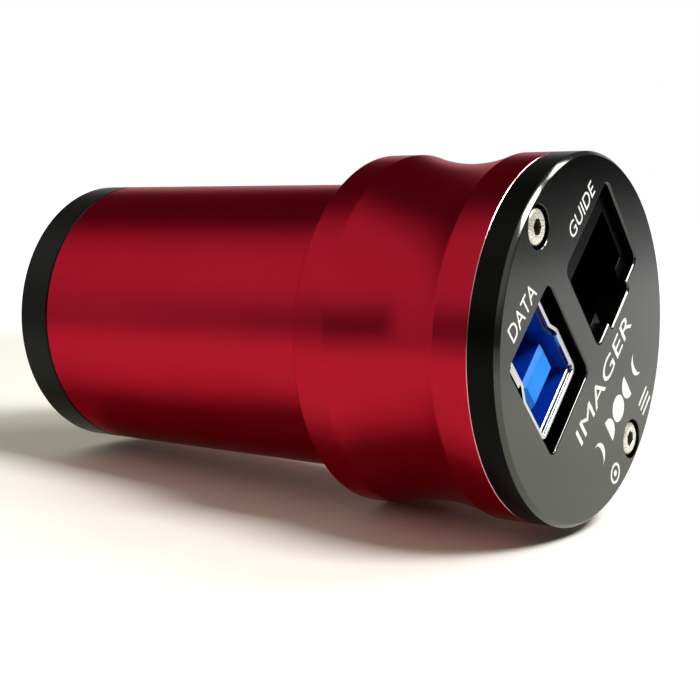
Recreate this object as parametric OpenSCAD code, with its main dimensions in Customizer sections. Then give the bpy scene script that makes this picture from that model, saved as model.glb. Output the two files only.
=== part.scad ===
// Uncooled astronomy guide and planetary camera for 1.25 inch focusers.
// A red anodised body (nose barrel and waisted collar), a black screw-on
// front ring with a sealed window, a black rear plate with a data socket
// and a guide jack, and the boards and image sensor inside.
//
// All modules are drawn with the optical axis on +Z, rear face at z = 0
// and nose at z = total length. place() then lays the camera down, with
// the nose looking along -Y and the collar's shoulder on the origin.
// The rear layout is drawn in (v, u): v is "up" for a person who reads the
// rear plate, u is "right", and the pair is rolled about the optical axis.

/* [Nose barrel] */
// Diameter of the nose barrel
barrel_d = 31.7; // [31.4:0.05:31.75]
// Length of the red barrel, from the collar's shoulder to the front ring
barrel_len = 38.8; // [36:0.1:48]

/* [Front ring] */
// Length of the black front ring
ring_len = 4.7; // [4.2:0.1:7]
// Edge chamfer of the ring's front
ring_chamfer = 0.4; // [0.1:0.05:0.8]
// Major radius of the female filter thread (M28.5 x 0.6)
filter_r = 14.25; // [14.2:0.01:14.3]
// Depth of the filter thread
filter_depth = 4.3; // [3:0.1:4.6]
// Radius of the male spigot that screws into the barrel (1 in x 32 thread)
spigot_r = 12.62; // [12.5:0.01:12.66]
// Length of the spigot
spigot_len = 4.2; // [4.0:0.1:4.6]

/* [Collar] */
// Diameter of the collar and of the rear plate
collar_d = 37.8; // [37:0.1:39]
// Length of the red collar, from the rear plate to the shoulder
collar_len = 19.9; // [19.5:0.1:24]
// Width of the land on each side of the finger groove
land_w = 3.7; // [2:0.1:5]
// Depth of the finger groove at its middle
groove_depth = 1.05; // [0.4:0.05:1.2]

/* [Rear plate] */
// Thickness of the rear plate
plate_t = 3.2; // [2.8:0.1:4]
// Edge chamfer of the rear plate
plate_chamfer = 0.5; // [0.1:0.05:0.8]
// Distance of each rear screw from the optical axis
screw_offset = 16.2; // [16:0.05:16.3]
// Roll of the rear layout about the optical axis, in degrees
rear_roll = 45; // [0:5:90]

/* [Data socket] */
// Middle of the data socket, to the left of the axis
usb_u = -7.4; // [-7.6:0.05:-7.2]
// Half width of the socket's wide lower part, outside the shell
usb_half_w = 4.75; // [4.6:0.05:4.8]
// Half width of the socket's narrow upper part, outside the shell
usb_hat_w = 4.0; // [3.6:0.05:4.2]
// Recess of the socket's lip behind the plate
usb_recess = 0.8; // [0.4:0.1:1.5]
// Wall of the socket's metal shell
usb_wall = 0.45; // [0.3:0.05:0.5]

/* [Guide jack] */
// Middle of the guide jack, to the right of the axis
jack_u = 7.45; // [7.3:0.05:7.6]
// Recess of the jack's face behind the plate
jack_recess = 0.9; // [0.4:0.1:1.5]
// Number of spring contacts
jack_ways = 6; // [4:2:6]

/* [Hidden] */
$fn = 96;
e = 0.01;
barrel_r = barrel_d / 2;
collar_r = collar_d / 2;
z_joint = plate_t;                        // rear plate to collar
z_shoulder = plate_t + collar_len;        // collar's front shoulder
z_ring = z_shoulder + barrel_len;         // barrel to front ring
z_nose = z_ring + ring_len;               // front of the nose
z_shelf = 18.8;                           // seat of the connector board
groove_w = collar_len - 2 * land_w;
groove_mid = z_joint + collar_len / 2;
groove_r = (pow(groove_w / 2, 2) + pow(groove_depth, 2)) / (2 * groove_depth);
cavity_r = 16.3;                          // inside the collar
bore_r = 14.3;                            // inside the barrel
thread_r = 12.70;                         // barrel's female thread
ledge_r = 9.4;                            // hole in the sensor ledge
z_ledge = z_ring - 7.7;                   // front face of the sensor ledge
ledge_t = 3.0;
gland_r = 13.9;
gland_t = 1.1;
pin_gap = 0.05;
z_board = z_shelf - 1.6;                  // rear face of the connector board
board_scr_u = 8.6;
board_scr_v = -11.05;
main_z0 = z_shelf + 0.8;
main_z1 = z_ledge - ledge_t - 0.4;
jack_v0 = -2.2;                           // jack housing, bottom and top
jack_v1 = 8.9;
jack_half = 5.95;
pivot_v = 6.3;                            // contact springs' root
pivot_z = 3.4;
spring_len = 8.4;
spring_drop = 20.2;                       // degrees
usb_v0 = -1.1;
usb_v1 = 10.7;
usb_step0 = 5.0;
usb_step1 = 6.6;

// ---------- placing ----------
module place() rotate([90, 0, 0]) translate([0, 0, -z_shoulder]) children();
module rear_layout() rotate([0, 0, rear_roll]) children();
// a block given by its u, v and z limits, in the rear layout
module block(u0, u1, v0, v1, z0, z1)
    translate([v0, u0, z0]) cube([v1 - v0, u1 - u0, z1 - z0]);
// a rounded rectangle in the (v, u) plane
module rounded(u0, u1, v0, v1, r) {
    translate([v0 + r, u0]) square([v1 - v0 - 2 * r, u1 - u0]);
    translate([v0, u0 + r]) square([v1 - v0, u1 - u0 - 2 * r]);
    for (a = [v0 + r, v1 - r], b = [u0 + r, u1 - r]) translate([a, b]) circle(r);
}
// a ring of rectangular section
module ring(r0, r1, z0, z1)
    rotate_extrude() translate([r0, z0]) square([r1 - r0, z1 - z0]);
// a socket-head cap screw with its head's top at z = 0, pointing to +z
module cap_screw(d, len, head_d, head_h, hex) difference() {
    union() {
        rotate_extrude() polygon([[0, 0], [head_d / 2 - 0.15, 0], [head_d / 2, 0.15],
            [head_d / 2, head_h], [d / 2, head_h], [d / 2, head_h + len - 0.3],
            [d / 2 - 0.3, head_h + len], [0, head_h + len]]);
    }
    translate([0, 0, -e]) cylinder(r = hex / 2 / cos(30), h = head_h * 0.55, $fn = 6);
}
// a small pan-head screw with its head's top at z = 0
module pan_screw(d, len, head_d, head_h, slot) difference() {
    rotate_extrude() polygon([[0, 0], [head_d / 2 - 0.25, 0], [head_d / 2, 0.25],
        [head_d / 2, head_h], [d / 2, head_h], [d / 2, head_h + len], [0, head_h + len]]);
    for (a = [0, 90]) rotate([0, 0, a])
        translate([-head_d * 0.3, -slot / 2, -e]) cube([head_d * 0.6, slot, head_h * 0.5]);
}

// ---------- body ----------
module body_shell() color([0.62, 0.02, 0.07]) place() difference() {
    union() {
        rotate_extrude() difference() {
            polygon([[cavity_r, z_joint], [collar_r - 0.15, z_joint],
                [collar_r, z_joint + 0.15], [collar_r, z_shoulder - 0.2],
                [collar_r - 0.2, z_shoulder], [barrel_r, z_shoulder],
                [barrel_r, z_ring - 0.12], [barrel_r - 0.12, z_ring],
                [gland_r, z_ring], [gland_r, z_ring - gland_t],
                [thread_r, z_ring - gland_t], [thread_r, z_ledge],
                [ledge_r, z_ledge], [ledge_r, z_ledge - ledge_t],
                [bore_r, z_ledge - ledge_t], [bore_r, z_shelf + 0.1], [cavity_r, z_shelf + 0.1]]);
            translate([collar_r - groove_depth + groove_r, groove_mid])
                circle(groove_r, $fn = 180);
        }
        // lugs for the two rear screws
        intersection() {
            translate([0, 0, z_joint]) cylinder(r = cavity_r + 0.3, h = z_shelf - z_joint + 0.5);
            rear_layout() for (s = [-1, 1])
                translate([s * 16.0 - 1.4 - s * 0.9, -2.6, z_joint])
                    cube([2.8, 5.2, z_shelf - z_joint + 0.5]);
        }
        // bosses for the connector board's screws, just proud of the shelf
        rear_layout() for (s = [-1, 1])
            translate([board_scr_v, s * board_scr_u, z_shelf]) cylinder(r = 2.2, h = 4.0);
    }
    rear_layout() {
        for (s = [-1, 1]) translate([s * screw_offset, 0, z_joint - e])
            cylinder(r = 1.05, h = 7, $fn = 32);
        for (s = [-1, 1]) translate([board_scr_v, s * board_scr_u, z_shelf - e])
            cylinder(r = 1.05, h = 3.5, $fn = 32);
        // card guides for the main board
        for (s = [-1, 1]) translate([-0.88, s * 13.9 - 0.9, z_shelf - e])
            cube([1.76, 1.8, z_ledge - ledge_t - z_shelf + e]);
    }
    // three threaded holes in the sensor ledge
    for (a = [90, 210, 330]) rotate([0, 0, a]) translate([10.75, 0, z_ledge - 2.6])
        cylinder(r = 0.85, h = 3, $fn = 32);
}

// ---------- front ring and window ----------
glass_z = z_ring - spigot_len + 1.3;      // floor of the window pocket
module front_ring() color([0.05, 0.05, 0.055]) place() difference() {
    rotate_extrude() polygon([[9.6, z_ring - spigot_len], [spigot_r - 0.3, z_ring - spigot_len],
        [spigot_r, z_ring - spigot_len + 0.3], [spigot_r, z_ring],
        [barrel_r - 0.1, z_ring], [barrel_r, z_ring + 0.1],
        [barrel_r, z_nose - ring_chamfer], [barrel_r - ring_chamfer, z_nose],
        [filter_r, z_nose], [filter_r, z_nose - filter_depth],
        [11.3, z_nose - filter_depth], [11.3, glass_z], [9.6, glass_z]]);
}
module ring_seal() color([0.03, 0.03, 0.03]) place()
    translate([0, 0, z_ring - gland_t / 2]) rotate_extrude() translate([13.22, 0])
        circle(0.5, $fn = 32);
module window_seal() color([0.04, 0.04, 0.04]) place()
    ring(9.9, 11.2, glass_z, glass_z + 0.5);
module window_glass() color([0.75, 0.85, 0.9, 0.35]) place()
    translate([0, 0, glass_z + 0.5]) rotate_extrude() polygon([[0, 0], [11.1, 0], [11.2, 0.1],
        [11.2, 1.0], [11.1, 1.1], [0, 1.1]]);
module window_retainer() color([0.06, 0.06, 0.06]) place() difference() {
    ring(9.8, 11.25, glass_z + 1.6, z_nose - filter_depth - 0.1);
    translate([-0.6, -12, glass_z + 1.9]) cube([1.2, 24, 3]);
}

// ---------- sensor ----------
sb_t = 1.2;                               // sensor board thickness
module sensor_board() color([0.03, 0.22, 0.12]) place() difference() {
    translate([0, 0, z_ledge]) cylinder(r = 12.2, h = sb_t);
    for (a = [90, 210, 330]) rotate([0, 0, a]) translate([10.75, 0, z_ledge - 1])
        cylinder(r = 0.95, h = 4, $fn = 32);
}
module sensor_board_screws() color([0.75, 0.75, 0.76]) place()
    for (a = [90, 210, 330]) rotate([0, 0, a]) translate([10.75, 0, z_ledge + sb_t + 0.9])
        mirror([0, 0, 1]) pan_screw(1.6, 3.2, 2.7, 0.9, 0.4);
module sensor_package() color([0.12, 0.11, 0.1]) place() rear_layout()
    translate([0, 0, z_ledge + sb_t]) difference() {
        translate([-4.7, -6, 0]) cube([9.4, 12, 1.3]);
        translate([-3.7, -5, 0.5]) cube([7.4, 10, 1]);
    }
module sensor_die() color([0.25, 0.3, 0.34]) place() rear_layout()
    translate([-2.3, -3.6, z_ledge + sb_t + 0.5]) cube([4.6, 7.2, 0.5]);
module sensor_cover_glass() color([0.7, 0.8, 0.85, 0.35]) place() rear_layout()
    translate([-4.5, -5.8, z_ledge + sb_t + 1.3]) cube([9.0, 11.6, 0.5]);

// ribbon from the main board to the sensor board, in the (v, z) plane
module sensor_flex() color([0.75, 0.45, 0.12]) place() rear_layout()
    translate([0, 5, 0]) rotate([90, 0, 0]) linear_extrude(10)
        polygon([[1.5, main_z1 - 3.4], [1.7, main_z1 - 3.4], [1.7, main_z1 - 1.6],
            [4.6, main_z1 + 0.9], [4.6, z_ledge - 1.4], [4.4, z_ledge - 1.4],
            [4.4, main_z1 + 1.05], [1.5, main_z1 - 1.45]]);
module flex_connectors() color([0.85, 0.83, 0.76]) place() rear_layout() {
    block(-6, 6, 0.8, 2.4, main_z1 - 7.0, main_z1 - 3.4);
    block(-6, 6, 2.9, 6.1, z_ledge - 1.4, z_ledge);
}

// ---------- main board ----------
module main_board() color([0.03, 0.22, 0.12]) place() rear_layout() difference() {
    block(-14.65, 14.65, -0.8, 0.8, main_z0, main_z1);
    for (s = [-1, 1]) translate([0, s * 14.9, main_z1]) rotate([0, 45, 0]) cube(2, center = true);
}
module processor_chip() color([0.07, 0.07, 0.07]) place() rear_layout()
    block(-12, 1, 0.8, 2.2, 27.5, 40.5);
module memory_chip() color([0.07, 0.07, 0.07]) place() rear_layout()
    block(3.2, 11.7, 0.8, 1.9, 27.5, 40.5);
module bridge_chip() color([0.07, 0.07, 0.07]) place() rear_layout()
    block(-5, 5, -2.0, -0.8, 23.5, 33.5);
module flash_chip() color([0.07, 0.07, 0.07]) place() rear_layout()
    block(-11.5, -6.5, -2.4, -0.8, 36, 42);
module clock_crystals() color([0.72, 0.72, 0.7]) place() rear_layout() {
    block(7, 10.2, -1.6, -0.8, 25, 27.5);
    block(7, 10.2, -1.6, -0.8, 30, 32.5);
}
module power_inductors() color([0.22, 0.22, 0.23]) place() rear_layout()
    for (i = [0:2]) block(-4 + 5 * i, 0 + 5 * i, -2.8, -0.8, 38, 42);
module ceramic_capacitors() color([0.62, 0.5, 0.36]) place() rear_layout() {
    for (i = [0:4]) block(-10.6 + 1.5 * i, -9.8 + 1.5 * i, 0.8, 1.5, 42.0, 43.6);
    for (i = [0:3]) block(3.6 + 1.9 * i, 4.4 + 1.9 * i, 0.8, 1.5, 42.0, 43.6);
    for (i = [0:4]) block(-10.4, -8.8, -1.5, -0.8, 23 + 1.9 * i, 23.8 + 1.9 * i);
}
module board_header() color([0.08, 0.08, 0.08]) place() rear_layout()
    block(-4.5, 4.5, 0.8, 5.4, z_shelf, z_shelf + 6.4);

// ---------- connector board ----------
function usb_pin(i) = i < 4
    ? [usb_u + (i % 2 == 0 ? -1.25 : 1.25), i < 2 ? 1.0 : 3.6]
    : [usb_u - 2.5 + 1.25 * (i - 4), 6.3];
function jack_pin(i) = [jack_u + 1.02 * (i - (jack_ways - 1) / 2), i % 2 == 0 ? 4.6 : 7.1];
module connector_board() color([0.03, 0.22, 0.12]) place() rear_layout() difference() {
    translate([0, 0, z_board]) cylinder(r = 15.6, h = 1.6);
    for (s = [-1, 1]) translate([s * 16.4 - 3, -3.0, z_board - 1]) cube([6, 6.0, 4]);
    for (s = [-1, 1]) translate([board_scr_v, s * board_scr_u, z_board - 1])
        cylinder(r = 1.15, h = 4, $fn = 32);
    for (i = [0:8]) translate([usb_pin(i)[1], usb_pin(i)[0], z_board - 1])
        cylinder(r = 0.42, h = 4, $fn = 24);
    for (i = [0:jack_ways - 1]) translate([jack_pin(i)[1], jack_pin(i)[0], z_board - 1])
        cylinder(r = 0.42, h = 4, $fn = 24);
}
module connector_board_screws() color([0.75, 0.75, 0.76]) place() rear_layout()
    for (s = [-1, 1]) translate([board_scr_v, s * board_scr_u, z_board - 1.2])
        pan_screw(2, 4.8, 3.5, 1.2, 0.5);
module optocoupler_chip() color([0.07, 0.07, 0.07]) place() rear_layout()
    block(-5.2, 5.2, -9.2, -4.8, z_board - 2.0, z_board);

// ---------- data socket ----------
// the socket's outline, wide at the bottom and narrow at the top
module usb_outline(t) polygon([
    [usb_v0 + t, usb_u - usb_half_w + t], [usb_v0 + t, usb_u + usb_half_w - t],
    [usb_step0, usb_u + usb_half_w - t], [usb_step1, usb_u + usb_hat_w - t],
    [usb_v1 - t, usb_u + usb_hat_w - t], [usb_v1 - t, usb_u - usb_hat_w + t],
    [usb_step1, usb_u - usb_hat_w + t], [usb_step0, usb_u - usb_half_w + t]]);
module usb_shell() color([0.78, 0.78, 0.76]) place() rear_layout() {
    difference() {
        translate([0, 0, usb_recess]) linear_extrude(z_board - usb_recess) usb_outline(0);
        translate([0, 0, usb_recess - e]) linear_extrude(z_board) usb_outline(usb_wall);
    }
    // spring tab beside the narrow part
    block(usb_u - 4.45, usb_u - usb_hat_w + 0.1, 6.9, 9.6, usb_recess, usb_recess + 0.4);
}
module usb_insulator() color([0.02, 0.12, 0.62]) place() rear_layout() {
    // rear block
    translate([0, 0, 9]) linear_extrude(z_board - 9 - 0.2) usb_outline(usb_wall + 0.02);
    // lower tongue and upper wafer
    block(usb_u - 2.45, usb_u + 2.45, 1.65, 4.45, usb_recess + 0.9, usb_recess + 1.2);
    block(usb_u - 2.8, usb_u + 2.8, 1.3, 4.8, usb_recess + 1.2, 9.1);
    block(usb_u - 2.6, usb_u + 2.6, 8.1, 8.95, usb_recess + 1.6, 9.1);
    // liner of the socket's wall, set back from the lip
    difference() {
        translate([0, 0, usb_recess + 0.3]) linear_extrude(8.8 - usb_recess) usb_outline(usb_wall + 0.02);
        translate([0, 0, usb_recess]) linear_extrude(9 - usb_recess) usb_outline(usb_wall + 0.37);
    }
}
module usb_contacts() color([0.85, 0.68, 0.3]) place() rear_layout() {
    for (s = [-1, 1]) {
        block(usb_u + 1.25 * s - 0.35, usb_u + 1.25 * s + 0.35, 4.8, 4.92, usb_recess + 2.4, 9.0);
        block(usb_u + 1.25 * s - 0.35, usb_u + 1.25 * s + 0.35, 1.18, 1.3, usb_recess + 2.4, 9.0);
    }
    for (i = [-2:2]) block(usb_u + i - 0.25, usb_u + i + 0.25, 7.95, 8.1, usb_recess + 2.2, 9.0);
    for (i = [0:8]) translate([usb_pin(i)[1], usb_pin(i)[0], z_board - 0.2])
        cylinder(r = 0.35, h = 2.6, $fn = 24);
}

// ---------- guide jack ----------
module guide_jack_housing() color([0.04, 0.04, 0.042]) place() rear_layout() difference() {
    translate([0, 0, jack_recess]) linear_extrude(z_board - jack_recess)
        rounded(jack_u - jack_half, jack_u + jack_half, jack_v0, jack_v1, 0.9);
    // plug cavity
    block(jack_u - 4.95, jack_u + 4.95, -0.7, 6.1, jack_recess - 1, 13.6);
    // wide step of the latch slot, then the slot for the latch itself
    block(jack_u - 3.05, jack_u + 3.05, -3, -0.5, jack_recess - 1, 9.2);
    // pocket for the springs
    block(jack_u - 3.3, jack_u + 3.3, 6.0, 7.3, 2.7, 13.6);
    // slots for the fixed ends of the contacts
    for (i = [0:jack_ways - 1]) translate([jack_pin(i)[1], jack_pin(i)[0], 12])
        cylinder(r = 0.35, h = 8, $fn = 24);
}
module guide_jack_pins() color([0.85, 0.68, 0.3]) place() rear_layout()
    for (i = [0:jack_ways - 1]) translate([jack_pin(i)[1], jack_pin(i)[0], 12.2])
        cylinder(r = 0.28, h = z_board + 2.4 - 12.2, $fn = 24);
module guide_jack_springs() color([0.88, 0.7, 0.3]) place() rear_layout()
    for (i = [0:jack_ways - 1])
        translate([pivot_v, jack_u + 1.02 * (i - (jack_ways - 1) / 2), pivot_z])
            rotate([0, -spring_drop, 0]) {
                cylinder(r = 0.23, h = spring_len, $fn = 24);
                rotate([90, 0, 0]) cylinder(r = 0.3, h = 0.56, center = true, $fn = 32);
            }

// ---------- rear plate ----------
module rear_plate() color([0.06, 0.06, 0.065]) place() difference() {
    rotate_extrude() polygon([[0, 0], [collar_r - plate_chamfer, 0], [collar_r, plate_chamfer + 0.1],
        [collar_r, plate_t - 0.1], [collar_r - 0.1, plate_t], [0, plate_t]]);
    rear_layout() {
        // data socket window
        translate([0, 0, -1]) linear_extrude(plate_t + 2) rounded(-12.9, -1.95, -2.3, 10.9, 1.0);
        // guide jack window with its latch notch
        translate([0, 0, -1]) linear_extrude(plate_t + 2) {
            rounded(1.2, 13.7, -2.35, 9.1, 1.0);
            rounded(4.5, 10.3, -3.35, 0, 0.6);
        }
        for (s = [-1, 1]) translate([s * screw_offset, 0, -1]) {
            cylinder(r = 1.2, h = plate_t + 2, $fn = 32);
            cylinder(r = 2.1, h = 3.1, $fn = 48);
        }
    }
}
module rear_screws() color([0.8, 0.8, 0.78]) place() rear_layout()
    for (s = [-1, 1]) translate([s * screw_offset, 0, 0.1]) cap_screw(2, 6.6, 3.5, 2.0, 1.5);

body_shell();
front_ring();
ring_seal();
window_seal();
window_glass();
window_retainer();
sensor_board();
sensor_board_screws();
sensor_package();
sensor_die();
sensor_cover_glass();
sensor_flex();
flex_connectors();
main_board();
processor_chip();
memory_chip();
bridge_chip();
flash_chip();
clock_crystals();
power_inductors();
ceramic_capacitors();
board_header();
connector_board();
connector_board_screws();
optocoupler_chip();
usb_shell();
usb_insulator();
usb_contacts();
guide_jack_housing();
guide_jack_pins();
guide_jack_springs();
rear_plate();
rear_screws();
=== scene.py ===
import bpy, bmesh, math
import numpy as np
from mathutils import Vector, Matrix


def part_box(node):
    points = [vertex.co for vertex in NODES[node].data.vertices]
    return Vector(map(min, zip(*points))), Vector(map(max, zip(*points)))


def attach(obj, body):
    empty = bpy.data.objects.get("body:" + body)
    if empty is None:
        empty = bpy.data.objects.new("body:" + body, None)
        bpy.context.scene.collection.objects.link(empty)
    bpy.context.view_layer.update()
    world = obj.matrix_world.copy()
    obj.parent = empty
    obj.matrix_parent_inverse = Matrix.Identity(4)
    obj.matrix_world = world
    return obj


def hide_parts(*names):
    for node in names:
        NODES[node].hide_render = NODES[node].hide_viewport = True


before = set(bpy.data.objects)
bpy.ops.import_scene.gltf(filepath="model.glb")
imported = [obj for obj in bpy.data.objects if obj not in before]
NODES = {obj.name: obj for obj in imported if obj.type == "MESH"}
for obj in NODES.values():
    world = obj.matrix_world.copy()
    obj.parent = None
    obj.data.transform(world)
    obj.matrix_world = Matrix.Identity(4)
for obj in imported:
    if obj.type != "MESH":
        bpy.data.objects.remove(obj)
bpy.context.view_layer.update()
scene = bpy.context.scene
MM = 0.001

# ------------------------------------------------------------------ frame
# Optical axis is Y, nose at -Y. Helper coordinates are (x, y, z): z runs from
# the rear face (0) towards the nose, in millimetres. (v, u) is the rear
# layout, rolled 45 degrees about the axis.
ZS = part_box("rear_plate")[1].y / MM            # shoulder plane, mm from the rear face
Z_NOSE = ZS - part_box("front_ring")[0].y / MM
Z_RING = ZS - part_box("body_shell")[0].y / MM
Z_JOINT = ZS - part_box("body_shell")[1].y / MM
R_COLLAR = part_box("body_shell")[1].x / MM
R_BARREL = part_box("front_ring")[1].x / MM
S45 = math.sqrt(0.5)


def W(x, y, z):
    return (x * MM, (ZS - z) * MM, y * MM)


def VU(v, u):
    return ((v - u) * S45, (v + u) * S45)


# ------------------------------------------------------------------ mesh helpers
def new_obj(name, mesh):
    o = bpy.data.objects.new(name, mesh)
    scene.collection.objects.link(o)
    return o


def smooth_by_angle(o, deg=38.0, weighted=True):
    me = o.data
    me.polygons.foreach_set("use_smooth", [True] * len(me.polygons))
    me.set_sharp_from_angle(angle=math.radians(deg))
    flat = [abs(p.normal.y) > 0.99995 for p in me.polygons]
    seen = {}
    for p in me.polygons:
        for k in p.edge_keys:
            seen.setdefault(k, []).append(flat[p.index])
    for e in me.edges:
        f = seen.get(tuple(sorted(e.vertices)), [])
        if len(f) == 2 and f[0] != f[1]:
            e.use_edge_sharp = True
    if weighted:
        m = o.modifiers.new("weighted", "WEIGHTED_NORMAL")
        m.mode = "FACE_AREA"
        m.weight = 50
        m.keep_sharp = True
    me.update()
    return o


def rounded_poly(pts, radii, step=15.0):
    """A closed polygon with a fillet at each corner."""
    out, n = [], len(pts)
    if not hasattr(radii, "__len__"):
        radii = [radii] * n
    for i in range(n):
        p0, p1, p2 = (np.array(pts[(i + k) % n][:2], float) for k in (-1, 0, 1))
        r = radii[i]
        la, lb = np.linalg.norm(p0 - p1), np.linalg.norm(p2 - p1)
        a, b = (p0 - p1) / la, (p2 - p1) / lb
        ang = math.acos(max(-1, min(1, float(a @ b))))
        if r <= 0 or ang > math.pi - 1e-3:
            out.append((p1[0], p1[1]))
            continue
        t = min(r / math.tan(ang / 2), 0.49 * la, 0.49 * lb)
        re = t * math.tan(ang / 2)
        s, e = p1 + a * t, p1 + b * t
        m = (a + b) / np.linalg.norm(a + b)
        c = p1 + m * (re / math.sin(ang / 2))
        a0, a1 = math.atan2(*(s - c)[::-1]), math.atan2(*(e - c)[::-1])
        d = (a1 - a0 + math.pi) % (2 * math.pi) - math.pi
        k = max(2, math.ceil(abs(math.degrees(d)) / step))
        for j in range(k + 1):
            out.append((c[0] + re * math.cos(a0 + d * j / k), c[1] + re * math.sin(a0 + d * j / k)))
    return out


def tri(x):
    f = x % 1.0
    return 2 * f if f < 0.5 else 2 - 2 * f


def thread(r0, z0, z1, pitch, depth, per=8, fade=0.8):
    """Profile points of a helical thread: (r, z, amplitude)."""
    n = max(4, int(round(abs(z1 - z0) / pitch * per)))
    pts = []
    for i in range(n + 1):
        z = z0 + (z1 - z0) * i / n
        k = min(1.0, (i / n) * abs(z1 - z0) / (fade * pitch), (1 - i / n) * abs(z1 - z0) / (fade * pitch))
        pts.append((r0, z, depth * k))
    return pts


def lathe_into(bm, prof, segs, closed=True, pitch=0.0, frac=None):
    """Revolves a profile about the optical axis. A point is (r, z) or (r, z, thread amplitude)."""
    rings = []
    for k in range(segs):
        th = 2 * math.pi * k / segs
        c, s = math.cos(th), math.sin(th)
        ring = []
        for p in prof:
            r = p[0]
            if len(p) > 2 and p[2]:
                r += p[2] * tri(p[1] / pitch - k / segs)
            ring.append(bm.verts.new(W(r * c, r * s, p[1])))
        rings.append(ring)
    n = len(prof)
    last = n if closed else n - 1
    for k in range(segs):
        a, b = rings[k], rings[(k + 1) % segs]
        for i in range(last):
            j = (i + 1) % n
            quad = [a[i], a[j], b[j], b[i]]
            bm.faces.new(quad)
    return rings


def close_mesh(bm, name, merge=2e-7):
    bmesh.ops.remove_doubles(bm, verts=bm.verts, dist=merge)
    bmesh.ops.dissolve_degenerate(bm, edges=bm.edges, dist=merge)
    bmesh.ops.recalc_face_normals(bm, faces=bm.faces)
    me = bpy.data.meshes.new(name)
    bm.to_mesh(me)
    bm.free()
    return new_obj(name, me)


def lathe(name, prof, segs=256, closed=True, pitch=0.0):
    bm = bmesh.new()
    lathe_into(bm, prof, segs, closed, pitch)
    return close_mesh(bm, name)


def ccw(loop):
    a = sum(p[0] * q[1] - q[0] * p[1] for p, q in zip(loop, loop[1:] + loop[:1]))
    return loop if a > 0 else loop[::-1]


def offset_dirs(loop):
    """Miter direction of each corner of a counterclockwise loop, so that p + d * n is offset by d."""
    n, out = len(loop), []
    for i in range(n):
        p0, p1, p2 = (np.array(loop[(i + k) % n], float) for k in (-1, 0, 1))
        t1, t2 = p1 - p0, p2 - p1
        t1 /= max(np.linalg.norm(t1), 1e-12)
        t2 /= max(np.linalg.norm(t2), 1e-12)
        n1, n2 = np.array([t1[1], -t1[0]]), np.array([t2[1], -t2[0]])
        out.append((n1 + n2) / (1 + float(n1 @ n2)))
    return out


def sweep_into(bm, loop, prof, closed=False, cap0=False, cap1=False, place=None):
    """Runs a (offset, height) profile round an outline given in (v, u)."""
    loop = ccw([tuple(p) for p in loop])
    dirs = offset_dirs(loop)
    place = place or (lambda v, u, z: W(*VU(v, u), z))
    rows = []
    for off, z in prof:
        rows.append([bm.verts.new(place(p[0] + d[0] * off, p[1] + d[1] * off, z)) for p, d in zip(loop, dirs)])
    n = len(loop)
    for r in range(len(rows) if closed else len(rows) - 1):
        a, b = rows[r], rows[(r + 1) % len(rows)]
        for i in range(n):
            j = (i + 1) % n
            bm.faces.new([a[i], a[j], b[j], b[i]])
    if cap0:
        bm.faces.new(rows[0])
    if cap1:
        bm.faces.new(rows[-1])
    return rows


def rect(u0, u1, v0, v1):
    return [(v0, u0), (v1, u0), (v1, u1), (v0, u1)]


def arc_pts(r, n, off=0.0):
    return [(r * math.cos(2 * math.pi * (k + off) / n), r * math.sin(2 * math.pi * (k + off) / n)) for k in range(n)]


def soft_block(bm, u0, u1, v0, v1, z0, z1, r=0.15, e=0.06, step=22.5):
    """A block with rounded long edges and softened ends."""
    loop = rounded_poly(rect(u0, u1, v0, v1), r, step)
    prof = [(-e, z0), (-e * 0.3, z0 + e * 0.3), (0, z0 + e), (0, z1 - e), (-e * 0.3, z1 - e * 0.3), (-e, z1)]
    sweep_into(bm, loop, prof, cap0=True, cap1=True)


def dress(node, mat, bevel=0.05, segs=2, angle=32, weld=True):
    """A CAD node that stays: better material, softened edges."""
    o = NODES[node]
    o.data.materials.clear()
    o.data.materials.append(mat)
    if weld:
        m = o.modifiers.new("weld", "WELD")
        m.merge_threshold = 1e-6
    if bevel:
        m = o.modifiers.new("soft_edges", "BEVEL")
        m.width = bevel * MM
        m.segments = segs
        m.limit_method = "ANGLE"
        m.angle_limit = math.radians(angle)
        m.miter_outer = "MITER_ARC"
        m.use_clamp_overlap = True
        m.harden_normals = False
    return o


def apply_modifiers(o):
    dg = bpy.context.evaluated_depsgraph_get()
    me = bpy.data.meshes.new_from_object(o.evaluated_get(dg))
    o.modifiers.clear()
    old = o.data
    o.data = me
    bpy.data.meshes.remove(old)
    return o


def boolean(o, cutter, op):
    m = o.modifiers.new("b", "BOOLEAN")
    m.object = cutter
    m.operation = op
    m.solver = "EXACT"
    apply_modifiers(o)
    bpy.data.objects.remove(cutter)
    return o


def split_materials(o, rules):
    """Gives faces a further material: rules are (material, test(v, u, z, r, n_y)), first match wins."""
    me = o.data
    base = len(me.materials)
    for mat, _ in rules:
        me.materials.append(mat)
    for p in me.polygons:
        x, z, y = p.center.x / MM, ZS - p.center.y / MM, p.center.z / MM
        v, u = (x + y) * S45, (y - x) * S45
        for i, (_, test) in enumerate(rules):
            if test(v, u, z, math.hypot(x, y), p.normal.y):
                p.material_index = base + i
                break


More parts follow.
